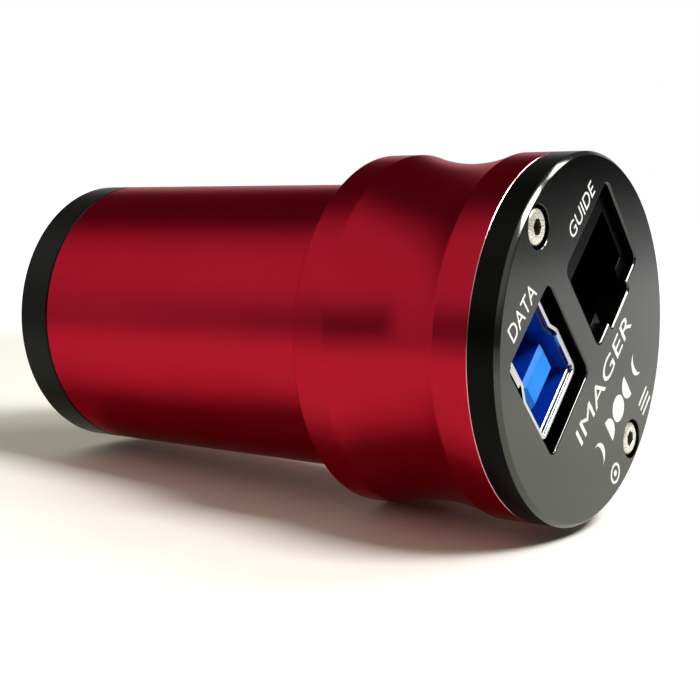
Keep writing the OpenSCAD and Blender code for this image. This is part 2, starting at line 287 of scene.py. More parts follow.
# ------------------------------------------------------------------ materials
class Nodes:
    """A short way to write node trees."""

    def __init__(self, name):
        self.mat = bpy.data.materials.new(name)
        self.mat.use_nodes = True
        self.t = self.mat.node_tree
        self.t.nodes.clear()
        self.out = self.t.nodes.new("ShaderNodeOutputMaterial")
        self.bsdf = self.t.nodes.new("ShaderNodeBsdfPrincipled")
        self.t.links.new(self.bsdf.outputs[0], self.out.inputs[0])
        self.coord = self.t.nodes.new("ShaderNodeTexCoord").outputs["Object"]

    def node(self, kind, **inputs):
        n = self.t.nodes.new(kind)
        for k, v in inputs.items():
            key = k.replace("_", " ")
            sock = n.inputs[key] if key in n.inputs else n.inputs[k]
            if isinstance(v, bpy.types.NodeSocket):
                self.t.links.new(v, sock)
            else:
                sock.default_value = v
        return n

    def set(self, **inputs):
        for k, v in inputs.items():
            sock = self.bsdf.inputs[k.replace("_", " ")]
            if isinstance(v, bpy.types.NodeSocket):
                self.t.links.new(v, sock)
            else:
                sock.default_value = v

    def noise(self, scale, detail=3.0, rough=0.6, stretch=(1, 1, 1), out="Fac"):
        m = self.node("ShaderNodeMapping", Vector=self.coord)
        m.inputs["Scale"].default_value = [s / MM for s in stretch]
        n = self.node("ShaderNodeTexNoise", Vector=m.outputs[0])
        n.inputs["Scale"].default_value = scale
        n.inputs["Detail"].default_value = detail
        n.inputs["Roughness"].default_value = rough
        return n.outputs[out]

    def ramp(self, fac, lo, hi, a, b):
        """Maps fac from lo..hi to a..b."""
        m = self.t.nodes.new("ShaderNodeMapRange")
        self.t.links.new(fac, m.inputs["Value"])
        for k, v in (("From Min", lo), ("From Max", hi), ("To Min", a), ("To Max", b)):
            m.inputs[k].default_value = v
        return m.outputs["Result"]

    def mix(self, fac, a, b):
        m = self.t.nodes.new("ShaderNodeMix")
        m.data_type = "RGBA"
        if isinstance(fac, bpy.types.NodeSocket):
            self.t.links.new(fac, m.inputs[0])
        else:
            m.inputs[0].default_value = fac
        for i, v in ((6, a), (7, b)):
            if isinstance(v, bpy.types.NodeSocket):
                self.t.links.new(v, m.inputs[i])
            else:
                m.inputs[i].default_value = (*v, 1.0)
        return m.outputs[2]

    def math(self, op, a, b=None):
        m = self.t.nodes.new("ShaderNodeMath")
        m.operation = op
        for i, v in enumerate((a, b)):
            if v is None:
                continue
            if isinstance(v, bpy.types.NodeSocket):
                self.t.links.new(v, m.inputs[i])
            else:
                m.inputs[i].default_value = v
        return m.outputs[0]

    def bump(self, height, strength, distance):
        b = self.t.nodes.new("ShaderNodeBump")
        b.inputs["Strength"].default_value = strength
        b.inputs["Distance"].default_value = distance * MM
        self.t.links.new(height, b.inputs["Height"])
        if self.bsdf.inputs["Normal"].is_linked:
            self.t.links.new(self.bsdf.inputs["Normal"].links[0].from_socket, b.inputs["Normal"])
        self.t.links.new(b.outputs[0], self.bsdf.inputs["Normal"])
        return b.outputs[0]


def mat_red():
    n = Nodes("red_anodised_aluminium")
    blotch = n.noise(0.09, 3, 0.55)
    grain = n.noise(7.0, 2, 0.6)
    lines = n.noise(1.0, 2, 0.5, stretch=(0.35, 9.0, 0.35))
    col = n.mix(n.ramp(blotch, 0.35, 0.65, 0, 1), (0.415, 0.0100, 0.0255), (0.450, 0.0115, 0.0290))
    col = n.mix(n.ramp(grain, 0.3, 0.7, 0.0, 0.10), col, (0.30, 0.004, 0.012))
    n.set(Base_Color=col, Metallic=1.0, IOR=1.5, Specular_Tint=(1.0, 0.45, 0.48, 1))
    n.set(Roughness=n.math("ADD", n.ramp(blotch, 0.3, 0.7, 0.205, 0.235), n.ramp(grain, 0.3, 0.7, -0.02, 0.02)))
    n.bump(grain, 0.25, 0.004)
    n.bump(lines, 0.12, 0.004)
    return n.mat


def mat_black_anodised(name="black_anodised_aluminium", rough=(0.26, 0.32), grain_scale=9.0, spec=0.14, base=0.0014, bump=0.25):
    n = Nodes(name)
    blotch = n.noise(0.12, 3, 0.55)
    grain = n.noise(grain_scale, 2, 0.6)
    col = n.mix(n.ramp(blotch, 0.35, 0.65, 0, 1), (base * 0.8, base * 0.86, base * 0.7), (base * 1.2, base * 1.25, base * 1.05))
    n.set(Base_Color=col, Metallic=0.0, IOR=1.5, Specular_IOR_Level=spec, Specular_Tint=(0.95, 1.0, 0.92, 1))
    n.set(Roughness=n.math("ADD", n.ramp(blotch, 0.3, 0.7, rough[0], rough[1]), n.ramp(grain, 0.3, 0.7, -0.03, 0.03)))
    n.bump(grain, bump, 0.004)
    return n.mat


def mat_metal(name, base, rough, scratch=0.05, grain_scale=6.0):
    n = Nodes(name)
    g = n.noise(grain_scale, 3, 0.6)
    col = n.mix(n.ramp(g, 0.35, 0.65, 0, 1), tuple(c * 0.9 for c in base), base)
    n.set(Base_Color=col, Metallic=1.0)
    n.set(Roughness=n.ramp(g, 0.3, 0.7, rough - scratch, rough + scratch))
    n.bump(g, 0.15, 0.004)
    return n.mat


def mat_plastic(name, base, rough, spec=0.5, grain_scale=5.0, bump=0.1, dark=0.85):
    n = Nodes(name)
    g = n.noise(grain_scale, 3, 0.6)
    b = n.noise(0.4, 2, 0.5)
    col = n.mix(n.ramp(b, 0.35, 0.65, 0, 1), tuple(c * dark for c in base), base)
    n.set(Base_Color=col, Roughness=n.ramp(g, 0.3, 0.7, rough - 0.05, rough + 0.05), Specular_IOR_Level=spec)
    n.bump(g, bump, 0.006)
    return n.mat


M_RED = mat_red()
M_RED_EDGE = mat_metal("bare_edge", (0.80, 0.36, 0.39), 0.18)
M_BLACK = mat_black_anodised(spec=0.12)
# Painted shade: a duller, darker copy of the plate's black anodising for its rim side, window walls, counterbores and
# back, so these read darker than the face through their material rather than through light.
M_SIDE_PAINTED_SHADE = mat_black_anodised("black_anodised_side_painted_shade", (0.22, 0.27), 9.0, 0.07, 0.0008)
M_PLATE = mat_black_anodised("black_anodised_face", (0.14, 0.17), 11.0, 0.98, 0.0015)
M_CHAMFER = mat_black_anodised("black_polished_chamfer", (0.12, 0.15), 11.0, 1.0, 0.0020, 0.08)


def mat_screw():
    n = Nodes("stainless_cap_screw")
    g = n.noise(6.0, 3, 0.6)
    b = n.noise(1.1, 2, 0.5)
    col = n.mix(n.ramp(g, 0.35, 0.65, 0, 1), (0.74, 0.71, 0.60), (0.92, 0.90, 0.80))
    n.set(Base_Color=col, Metallic=n.ramp(b, 0.35, 0.65, 0.45, 0.62), Roughness=n.ramp(g, 0.3, 0.7, 0.22, 0.34))
    n.bump(g, 0.2, 0.006)
    return n.mat


M_STEEL = mat_screw()
# Painted shade: a dark brown, rough copy of the screw metal inside the hex sockets, standing in for the shade down in
# each socket.
M_SOCKET = mat_metal("screw_socket_painted_shade", (0.10, 0.085, 0.05), 0.42)
M_STEEL_IN = mat_metal("stainless_screw_small", (0.62, 0.61, 0.58), 0.25)
M_NICKEL = mat_metal("nickel_shell", (0.80, 0.80, 0.78), 0.16)
M_GOLD = mat_metal("gold_contacts", (0.85, 0.62, 0.25), 0.18)
M_TIN = mat_metal("tin_crystal_can", (0.70, 0.70, 0.68), 0.24)
# One blue plastic moulding painted in three tones: the bright copy on the tongue's nose is painted light, while the
# darker insulator copy and the darkest copy on the liner's front rim are painted shade.
M_BLUE = mat_plastic("blue_plastic_painted_lit_nose", (0.006, 0.25, 0.92), 0.30, 0.12, 5.0, 0.3, 0.8)
M_BLUE_IN = mat_plastic("blue_insulator", (0.002, 0.035, 0.40), 0.22, 0.30)
M_BLUE_DEEP = mat_plastic("blue_insulator_rim_painted_shade", (0.001, 0.010, 0.11), 0.30, 0.08)
# Painted glint: a bright metal strip laid on the lower front edge of the blue liner, standing in for a highlight along
# that edge; no metal part sits there.
M_GLINT_STRIP = mat_metal("painted_glint_strip", (0.86, 0.86, 0.84), 0.30)
# Near-pure black, almost unreflective plastic for the guide jack: partly the jack's own black, partly painted shade for
# the jack sitting in the recess behind the plate window.
M_JACK = mat_plastic("jack_plastic", (0.0008, 0.0008, 0.0009), 0.20, 0.06)
M_HEADER = mat_plastic("header_plastic", (0.010, 0.010, 0.011), 0.4)
M_CHIP = mat_plastic("chip_epoxy", (0.016, 0.016, 0.017), 0.55, 0.4, 9.0, 0.35)
M_IVORY = mat_plastic("connector_ivory", (0.72, 0.68, 0.56), 0.42)
M_FERRITE = mat_plastic("ferrite", (0.055, 0.055, 0.058), 0.6, 0.4, 6.0, 0.4)
M_CERAMIC = mat_plastic("ceramic_capacitor", (0.34, 0.22, 0.12), 0.45, 0.5, 6.0, 0.3)
M_PACKAGE = mat_plastic("ceramic_package", (0.028, 0.022, 0.020), 0.5, 0.5, 6.0, 0.3)
M_RUBBER = mat_plastic("seal_rubber", (0.010, 0.010, 0.010), 0.6, 0.35, 5.0, 0.25)
M_FLEX = mat_plastic("flex_film", (0.50, 0.20, 0.03), 0.28, 0.5, 2.0, 0.1)
M_INK = mat_plastic("white_ink", (0.88, 0.88, 0.85), 0.45, 0.4, 14.0, 0.2, 0.95)


def mat_board():
    n = Nodes("circuit_board")
    m = n.node("ShaderNodeMapping", Vector=n.coord)
    m.inputs["Scale"].default_value = (1 / MM,) * 3
    vor = n.node("ShaderNodeTexVoronoi", Vector=m.outputs[0])
    vor.distance = "CHEBYCHEV"
    vor.feature = "F1"
    vor.inputs["Scale"].default_value = 0.75
    tracks = n.ramp(n.math("FRACT", n.math("MULTIPLY", vor.outputs["Distance"], 7.0)), 0.42, 0.52, 0, 1)
    weave = n.noise(3.0, 2, 0.5)
    col = n.mix(tracks, (0.006, 0.055, 0.028), (0.012, 0.085, 0.042))
    col = n.mix(n.ramp(weave, 0.3, 0.7, 0, 0.3), col, (0.004, 0.035, 0.020))
    n.set(Base_Color=col, Roughness=n.ramp(weave, 0.3, 0.7, 0.28, 0.38))
    n.bump(tracks, 0.2, 0.02)
    return n.mat


def mat_die():
    n = Nodes("sensor_silicon")
    m = n.node("ShaderNodeMapping", Vector=n.coord)
    m.inputs["Scale"].default_value = (1 / MM,) * 3
    m.inputs["Rotation"].default_value = (0, math.radians(45), 0)
    grid = n.node("ShaderNodeTexChecker", Vector=m.outputs[0])
    grid.inputs["Scale"].default_value = 28.0
    tint = n.noise(0.25, 1, 0.4)
    col = n.mix(n.ramp(tint, 0.35, 0.65, 0, 1), (0.035, 0.070, 0.085), (0.075, 0.050, 0.095))
    col = n.mix(n.math("MULTIPLY", grid.outputs["Fac"], 0.25), col, (0.10, 0.13, 0.10))
    n.set(Base_Color=col, Metallic=0.55, Roughness=0.16)
    n.set(Coat_Weight=0.6, Coat_Roughness=0.05)
    return n.mat


def mat_glass(name, tint):
    n = Nodes(name)
    g = n.noise(0.6, 2, 0.5)
    n.set(Base_Color=n.mix(n.ramp(g, 0.35, 0.65, 0, 1), tint, tuple(min(1, c * 1.01) for c in tint)))
    n.set(Roughness=0.0, IOR=1.5, Transmission_Weight=1.0, Specular_IOR_Level=0.10)
    return n.mat


M_BOARD = mat_board()
M_DIE = mat_die()
M_GLASS = mat_glass("window_glass_ar", (0.96, 0.99, 0.97))
M_COVER = mat_glass("sensor_cover_glass", (0.97, 0.985, 0.99))


def finish_piece(o, mat, body, nodes=(), angle=38, weighted=True, flat=False):
    o.data.materials.clear()
    o.data.materials.append(mat)
    if not flat:
        smooth_by_angle(o, angle, weighted)
    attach(o, body)
    if nodes:
        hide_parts(*nodes)
    return o


# ------------------------------------------------------------------ body shell
GR_DEPTH, LAND = 1.05, 3.7
z0g, z1g = Z_JOINT + LAND, ZS - LAND
half = (z1g - z0g) / 2
GR = (half * half + GR_DEPTH * GR_DEPTH) / (2 * GR_DEPTH)
groove = []
amax = math.asin(half / GR)
for i in range(49):
    a = -amax + 2 * amax * i / 48
    groove.append((R_COLLAR - GR_DEPTH + GR - GR * math.cos(a), (z0g + z1g) / 2 + GR * math.sin(a)))

Z_LEDGE = Z_RING - 7.7
Z_SHELF = 18.8


def shell_profile():
    c = []
    # outside, from the rear edge to the front edge
    c += rounded_poly([(16.3, Z_JOINT), (R_COLLAR - 0.055, Z_JOINT), (R_COLLAR, Z_JOINT + 0.055), (R_COLLAR, z0g)],
                      [0, 0.008, 0.008, 0])[:-1]
    c += [(R_COLLAR, z0g - 0.05)] + groove + [(R_COLLAR, z1g + 0.05)]
    c += rounded_poly([(R_COLLAR, z1g), (R_COLLAR, ZS - 0.2), (R_COLLAR - 0.2, ZS), (R_BARREL, ZS), (R_BARREL, Z_RING)],
                      [0, 0.06, 0.06, 0.05, 0])[1:-1]
    c += rounded_poly([(R_BARREL, ZS + 1), (R_BARREL, Z_RING - 0.16), (R_BARREL - 0.16, Z_RING), (13.9, Z_RING)],
                      [0, 0.05, 0.05, 0])[1:-1]
    # gland for the seal, thread, ledge, bore, cavity
    c += [(13.9, Z_RING), (13.9, Z_RING - 1.1), (12.86, Z_RING - 1.1), (12.70, Z_RING - 1.26)]
    zt0, zt1 = Z_RING - 1.4, Z_LEDGE + 0.7
    c += [(r, z, a) for r, z, a in thread(12.70, zt0, zt1, 0.79375, 0.38)]
    c += [(12.70, Z_LEDGE), (9.4, Z_LEDGE), (9.4, Z_LEDGE - 3.0), (14.3, Z_LEDGE - 3.0),
          (14.3, Z_SHELF + 0.1), (16.3, Z_SHELF + 0.1)]
    return c


def make_shell():
    bm = bmesh.new()
    lathe_into(bm, shell_profile(), 288, True, pitch=0.79375)
    o = close_mesh(bm, "body_shell_turned")

    def block_obj(u0, u1, v0, v1, za, zb):
        b = bmesh.new()
        sweep_into(b, rounded_poly(rect(u0, u1, v0, v1), 0.3, 30), [(0, za), (0, zb)], cap0=True, cap1=True)
        return close_mesh(b, "tmp")

    def rod_obj(v, u, r, za, zb, n=32):
        b = bmesh.new()
        sweep_into(b, [(v + p[0], u + p[1]) for p in arc_pts(r, n, 0.5)], [(0, za), (0, zb)], cap0=True, cap1=True)
        return close_mesh(b, "tmp")

    for s in (-1, 1):
        v = s * 15.1
        boolean(o, block_obj(-2.6, 2.6, v - 1.4, v + 1.4, Z_JOINT, Z_SHELF + 0.4), "UNION")
        boolean(o, rod_obj(s * 16.2, 0, 1.05, Z_JOINT - 0.2, Z_JOINT + 7), "DIFFERENCE")
        boolean(o, rod_obj(-11.05, s * 8.6, 2.2, Z_SHELF, Z_SHELF + 4.0), "UNION")
        boolean(o, rod_obj(-11.05, s * 8.6, 1.05, Z_SHELF - 0.2, Z_SHELF + 3.5), "DIFFERENCE")
    for k in (90, 210, 330):
        a = math.radians(k)
        x, y = 10.75 * math.cos(a), 10.75 * math.sin(a)
        v, u = (x + y) * S45, (y - x) * S45
        boolean(o, rod_obj(v, u, 0.85, Z_LEDGE - 2.6, Z_LEDGE + 0.3), "DIFFERENCE")
    return o


shell = finish_piece(make_shell(), M_RED, "camera", ["body_shell"], angle=25)
split_materials(shell, [(M_RED_EDGE, lambda v, u, z, r_, ny: z < Z_JOINT + 0.06 and r_ > R_COLLAR - 0.06 and 0.2 < ny < 0.97)])

# ------------------------------------------------------------------ front ring
Z_SPIG = Z_RING - 4.2
Z_GLASS = Z_SPIG + 1.3


def ring_profile():
    c = rounded_poly([(9.6, Z_GLASS), (9.6, Z_SPIG), (12.3, Z_SPIG), (12.3, Z_SPIG + 1)], [0, 0.08, 0.0, 0])[:-1]
    c += [(12.62 - 0.36, Z_SPIG + 0.02)]
    c += [(r, z, -a) for r, z, a in thread(12.62, Z_SPIG + 0.25, Z_RING - 1.05, 0.79375, 0.40)]
    c += [(12.25, Z_RING - 0.95), (12.25, Z_RING - 0.05)]
    c += rounded_poly([(12.25, Z_RING), (R_BARREL - 0.16, Z_RING), (R_BARREL, Z_RING + 0.16),
                       (R_BARREL, Z_NOSE - 0.42), (R_BARREL - 0.42, Z_NOSE), (14.55, Z_NOSE), (14.28, Z_NOSE - 0.27),
                       (14.28, Z_NOSE - 1)], [0.05, 0.05, 0.05, 0.07, 0.07, 0.06, 0.03, 0])[:-1]
    c += [(r, z, -a) for r, z, a in thread(14.25, Z_NOSE - 0.35, Z_NOSE - 4.05, 0.6, 0.30)]
    c += [(14.25, Z_NOSE - 4.3), (11.3, Z_NOSE - 4.3), (11.3, Z_GLASS)]
    return c


def make_ring():
    bm = bmesh.new()
    prof = ring_profile()
    segs = 256
    rings = []
    for k in range(segs):
        th = 2 * math.pi * k / segs
        c, s = math.cos(th), math.sin(th)
        ring = []
        for p in prof:
            r, pitch = p[0], (0.6 if p[0] > 13.5 else 0.79375)
            if len(p) > 2 and p[2]:
                r += p[2] * tri(p[1] / pitch - k / segs)
            ring.append(bm.verts.new(W(r * c, r * s, p[1])))
        rings.append(ring)
    n = len(prof)
    for k in range(segs):
        a, b = rings[k], rings[(k + 1) % segs]
        for i in range(n):
            j = (i + 1) % n
            bm.faces.new([a[i], a[j], b[j], b[i]])
    return close_mesh(bm, "front_ring_turned")


finish_piece(make_ring(), M_BLACK, "front_ring", ["front_ring"], angle=38)

# ------------------------------------------------------------------ rear plate
T = Z_JOINT
CH, CHZ, CW = 0.42, 0.42, 0.12      # rim chamfer (radial, axial), window chamfer


def win_edge(c):
    """A small chamfer with softened corners and the wall below it: (offset, depth)."""
    q = 0.02
    return [(c + q, 0.0), (c + q * 0.4, q * 0.12), (c - q * 0.6, q * 0.6), (q * 0.6, c - q * 0.6), (q * 0.12, c + q * 0.4),
            (0.0, c + q * 1.2), (0.0, T - 0.05), (0.05, T)]


USB_WIN = rounded_poly(rect(-12.9, -1.95, -2.3, 10.9), 1.0, 9)
JACK_WIN = rounded_poly([(-2.35, 1.2), (-2.35, 4.5), (-3.35, 4.5), (-3.35, 10.3), (-2.35, 10.3), (-2.35, 13.7),
                         (9.1, 13.7), (9.1, 1.2)], [1.0, 0.12, 0.6, 0.6, 0.12, 1.0, 1.0, 1.0], 9)


def make_plate():
    bm = bmesh.new()
    face_edges, back_edges = [], []

    def edges_of(row):
        out = []
        for a, b in zip(row, row[1:] + row[:1]):
            e = bm.edges.get((a, b))
            out.append(e)
        return out

    # rim
    outer = arc_pts(R_COLLAR, 320)
    q = 0.04
    rim = [(-CH - q * 0.6, 0), (-CH, q * 0.25), (-CH + q * 0.6, q * 0.72), (-q * 0.6, CHZ - q * 0.72), (-q * 0.12, CHZ + q * 0.4),
           (0, CHZ + q * 1.2), (0, T - 0.12), (-0.02, T - 0.05), (-0.09, T)]
    rows = sweep_into(bm, outer, rim)
    face_edges += edges_of(rows[0])
    back_edges += edges_of(rows[-1])
    for loop, c in ((USB_WIN, CW), (JACK_WIN, CW + 0.06)):
        rows = sweep_into(bm, loop, win_edge(c))
        face_edges += edges_of(rows[0])
        back_edges += edges_of(rows[-1])
    for s in (-1, 1):
        c = [(s * 16.2 + p[0], p[1]) for p in arc_pts(2.1, 96)]
        prof = [(0.05, 0), (0.044, 0.006), (0.006, 0.044), (0, 0.05), (0, 2.05), (-0.02, 2.1), (-0.9, 2.1), (-0.9, T)]
        rows = sweep_into(bm, c, prof)
        face_edges += edges_of(rows[0])
        back_edges += edges_of(rows[-1])
    bmesh.ops.triangle_fill(bm, use_beauty=True, use_dissolve=False, edges=face_edges)
    bmesh.ops.triangle_fill(bm, use_beauty=True, use_dissolve=False, edges=back_edges)
    return close_mesh(bm, "rear_plate_machined", 1e-7)


plate = finish_piece(make_plate(), M_PLATE, "camera", ["rear_plate"], angle=40)
# The rim side, window walls, counterbores and back get the dulled copy of the anodising: painted shade.
split_materials(plate, [(M_CHAMFER, lambda v, u, z, r_, ny: z < 0.75 and 0.15 < ny < 0.985),
                        (M_SIDE_PAINTED_SHADE, lambda v, u, z, r_, ny: z > 0.001)])

# ------------------------------------------------------------------ rear screws
def hex_r(th, af):
    t = (th % (math.pi / 3)) - math.pi / 6
    return af / 2 / math.cos(t)


def make_screws():
    bm = bmesh.new()
    n = 96
    for s in (-1, 1):
        cx, cy = VU(s * 16.2, 0)
        turn = math.radians(45 + (14 if s > 0 else 37))
        z0 = 0.1
        spec = [("c", 0.0, z0 + 1.42), ("h", 0.9, z0 + 1.22), ("h", 1.46, z0 + 1.08), ("h", 1.5, z0 + 1.0), ("h", 1.5, z0 + 0.08),
                ("h", 1.56, z0 + 0.03), ("h", 1.64, z0 + 0.0), ("c", 0.98, z0), ("c", 1.38, z0 + 0.004), ("c", 1.48, z0 + 0.03),
                ("c", 1.68, z0 + 0.16), ("c", 1.735, z0 + 0.22), ("c", 1.75, z0 + 0.32), ("c", 1.75, z0 + 1.86), ("c", 1.71, z0 + 1.96),
                ("c", 1.63, z0 + 2.0), ("c", 1.0, z0 + 2.0), ("c", 1.0, z0 + 8.3), ("c", 0.7, z0 + 8.6), ("c", 0.0, z0 + 8.6)]
        rows = []
        for kind, size, z in spec:
            row = []
            for k in range(n):
                th = 2 * math.pi * k / n
                r = size if kind == "c" else hex_r(th, size)
                row.append(bm.verts.new(W(cx + r * math.cos(th + turn), cy + r * math.sin(th + turn), z)))
            rows.append(row)
        for a, b in zip(rows, rows[1:]):
            for i in range(n):
                j = (i + 1) % n
                bm.faces.new([a[i], a[j], b[j], b[i]])
    return close_mesh(bm, "rear_cap_screws")


screws = finish_piece(make_screws(), M_STEEL, "camera", ["rear_screws"], angle=35)
# The faces inside the hex sockets take the painted shade material.
split_materials(screws, [(M_SOCKET, lambda v, u, z, r_, ny: z > 0.19 and math.hypot(abs(v) - 16.2, u) < 0.9)])

# ------------------------------------------------------------------ data socket
UU = -7.4
USB_OUT = rounded_poly([(-1.1, UU - 4.75), (-1.1, UU + 4.75), (5.0, UU + 4.75), (6.6, UU + 4.0), (10.7, UU + 4.0),
                        (10.7, UU - 4.0), (6.6, UU - 4.0), (5.0, UU - 4.75)],
                       [0.75, 0.75, 0.35, 0.35, 0.7, 0.7, 0.35, 0.35], 15)
ZB = 17.2


def make_usb_shell():
    bm = bmesh.new()
    w = 0.45
    prof = [(0, ZB), (0, 0.92), (-0.03, 0.84), (-0.10, 0.8), (-w + 0.08, 0.8), (-w + 0.03, 0.83), (-w, 0.90), (-w, ZB)]
    sweep_into(bm, USB_OUT, prof, closed=True)
    soft_block(bm, UU - 4.45, UU - 3.98, 6.9, 9.6, 0.8, 1.2, 0.12, 0.05)
    soft_block(bm, UU + 4.02, UU + 4.34, 0.1, 4.7, 0.82, 1.3, 0.06, 0.04)
    return close_mesh(bm, "usb_socket_shell")


def make_usb_insulator():
    bm = bmesh.new()
    w = 0.45
    # liner and the block behind it as one moulding
    prof = [(-w - 0.02, ZB - 0.2), (-w - 0.02, 1.30), (-w - 0.04, 1.28), (-w - 0.10, 1.24), (-w - 0.19, 1.24), (-w - 0.36, 1.24), (-w - 0.40, 1.28),
            (-w - 0.40, 9.0)]
    sweep_into(bm, USB_OUT, prof, cap0=True, cap1=True)
    # lower tongue with a bevelled nose
    sweep_into(bm, rect(UU - 2.8, UU + 2.8, 1.3, 4.8), [(0, 9.05), (0, 2.17), (-0.02, 2.13), (-0.46, 1.73), (-0.50, 1.7)],
               cap0=True, cap1=True)
    loop = rounded_poly(rect(UU - 2.6, UU + 2.6, 8.1, 8.95), 0.15, 22.5)
    sweep_into(bm, loop, [(0, 9.05), (0, 2.6), (-0.04, 2.46), (-0.12, 2.4)], cap0=True, cap1=True)
    return close_mesh(bm, "usb_socket_insulator")


def make_usb_contacts():
    bm = bmesh.new()
    for s in (-1, 1):
        for v0, v1 in ((4.8, 4.92), (1.18, 1.3)):
            soft_block(bm, UU + 1.25 * s - 0.35, UU + 1.25 * s + 0.35, v0, v1, 4.6, 9.0, 0.05, 0.04)
    for i in range(-2, 3):
        soft_block(bm, UU + i - 0.25, UU + i + 0.25, 7.95, 8.1, 3.0, 9.0, 0.05, 0.04)
    pins = [(1.0, UU - 1.25), (1.0, UU + 1.25), (3.6, UU - 1.25), (3.6, UU + 1.25)] + [(6.3, UU - 2.5 + 1.25 * i) for i in range(5)]
    for v, u in pins:
        sweep_into(bm, [(v + p[0], u + p[1]) for p in arc_pts(0.35, 24)],
                   [(0, ZB - 0.2), (0, ZB + 2.2), (-0.08, ZB + 2.35), (-0.2, ZB + 2.4)], cap0=True, cap1=True)
    return close_mesh(bm, "usb_socket_contacts")


finish_piece(make_usb_shell(), M_NICKEL, "camera", ["usb_shell"])
insulator = finish_piece(make_usb_insulator(), M_BLUE_IN, "camera", ["usb_insulator"], angle=30)
# Painted light and shade on the blue moulding: the tongue's nose gets the bright tone and the liner's front rim gets
# the darkest tone.
split_materials(insulator, [(M_BLUE, lambda v, u, z, r_, ny: 1.6 < z < 2.25 and 1.2 < v < 4.9 and abs(u - UU) < 2.85),
                            # The lower front edge of the liner gets the painted glint strip.
                            (M_GLINT_STRIP, lambda v, u, z, r_, ny: 1.22 < z < 1.27 and -0.44 < v < -0.2 and abs(u - UU) < 3.9),
                            (M_BLUE_DEEP, lambda v, u, z, r_, ny: 1.20 < z < 1.32)])
finish_piece(make_usb_contacts(), M_GOLD, "camera", ["usb_contacts"])

# ------------------------------------------------------------------ guide jack
JU = 7.45


def make_jack():
    bm = bmesh.new()
    z0 = 0.9
    outer = rounded_poly(rect(JU - 5.95, JU + 5.95, -2.2, 8.9), 0.9, 15)
    sweep_into(bm, outer, [(-0.14, z0), (-0.04, z0 + 0.04), (0, z0 + 0.14), (0, ZB)], cap0=True, cap1=True)
    body = close_mesh(bm, "guide_jack_moulding")

    def cut(u0, u1, v0, v1, za, zb, r=0.15):
        b = bmesh.new()
        entry = [(0.14, z0 - 0.5), (0.14, z0), (0.09, z0 + 0.02), (0.02, z0 + 0.09), (0, z0 + 0.16), (0, zb)]
        sweep_into(b, rounded_poly(rect(u0, u1, v0, v1), r, 22.5), entry if za < z0 else [(0, za), (0, zb)], cap0=True, cap1=True)
        boolean(body, close_mesh(b, "tmp"), "DIFFERENCE")

    cut(JU - 4.95, JU + 4.95, -0.7, 6.1, 0, 13.6)
    cut(JU - 3.05, JU + 3.05, -3.0, -0.5, 0, 9.2)
    cut(JU - 3.3, JU + 3.3, 6.0, 7.3, 2.7, 13.6, 0.05)
    for i in range(6):
        u, v = JU + 1.02 * (i - 2.5), (4.6 if i % 2 == 0 else 7.1)
        b = bmesh.new()
        sweep_into(b, [(v + p[0], u + p[1]) for p in arc_pts(0.35, 16)], [(0, 12), (0, 19)], cap0=True, cap1=True)
        boolean(body, close_mesh(b, "tmp"), "DIFFERENCE")
    return body


def tube_into(bm, path, r, n=16):
    """A round wire along a path of (v, u, z) points."""
    pts = [Vector(p) for p in path]
    rows = []
    up = Vector((0, 1, 0))
    for i, p in enumerate(pts):
        d = (pts[min(i + 1, len(pts) - 1)] - pts[max(i - 1, 0)]).normalized()
        a = up.cross(d)
        a = a.normalized() if a.length > 1e-6 else Vector((1, 0, 0))
        b = d.cross(a)
        rows.append([bm.verts.new(W(*VU(*(q := p + (a * math.cos(2 * math.pi * k / n) + b * math.sin(2 * math.pi * k / n)) * r)[:2]), q[2]))
                     for k in range(n)])
    for a, b in zip(rows, rows[1:]):
        for i in range(n):
            j = (i + 1) % n
            bm.faces.new([a[i], a[j], b[j], b[i]])
    bm.faces.new(rows[0])
    bm.faces.new(rows[-1])


def make_springs():
    bm = bmesh.new()
    drop, ln = math.radians(20.2), 8.4
    for i in range(6):
        u = JU + 1.02 * (i - 2.5)
        path = []
        for k in range(13):
            t = k / 12
            bow = 0.10 * math.sin(math.pi * t)
            path.append((6.3 - math.sin(drop) * ln * t - bow * math.cos(drop), u, 3.4 + math.cos(drop) * ln * t - bow * math.sin(drop)))
        tube_into(bm, path, 0.225)
        # the rolled root of the spring
        tube_into(bm, [(6.3 + 0.30 * math.cos(a), u, 3.4 + 0.30 * math.sin(a) * 0.9 - 0.02) for a in
                       [math.radians(x) for x in (-160, -130, -100, -70, -40, -10, 20)]], 0.12, 10)
    return close_mesh(bm, "guide_jack_contact_springs")


# The jack housing takes the near-black, dulled plastic: painted shade in the window recess.
finish_piece(make_jack(), M_JACK, "camera", ["guide_jack_housing"])
finish_piece(make_springs(), M_GOLD, "guide_springs", ["guide_jack_springs"])

# ------------------------------------------------------------------ seal, retainer, glass
def torus(name, R, r, z, n=192, m=24):
    bm = bmesh.new()
    lathe_into(bm, [(R + r * math.cos(2 * math.pi * k / m), z + r * math.sin(2 * math.pi * k / m)) for k in range(m)], n)
    return close_mesh(bm, name)


finish_piece(torus("ring_seal_cord", 13.22, 0.49, Z_RING - 0.55), M_RUBBER, "ring_travel", ["ring_seal"], angle=60)


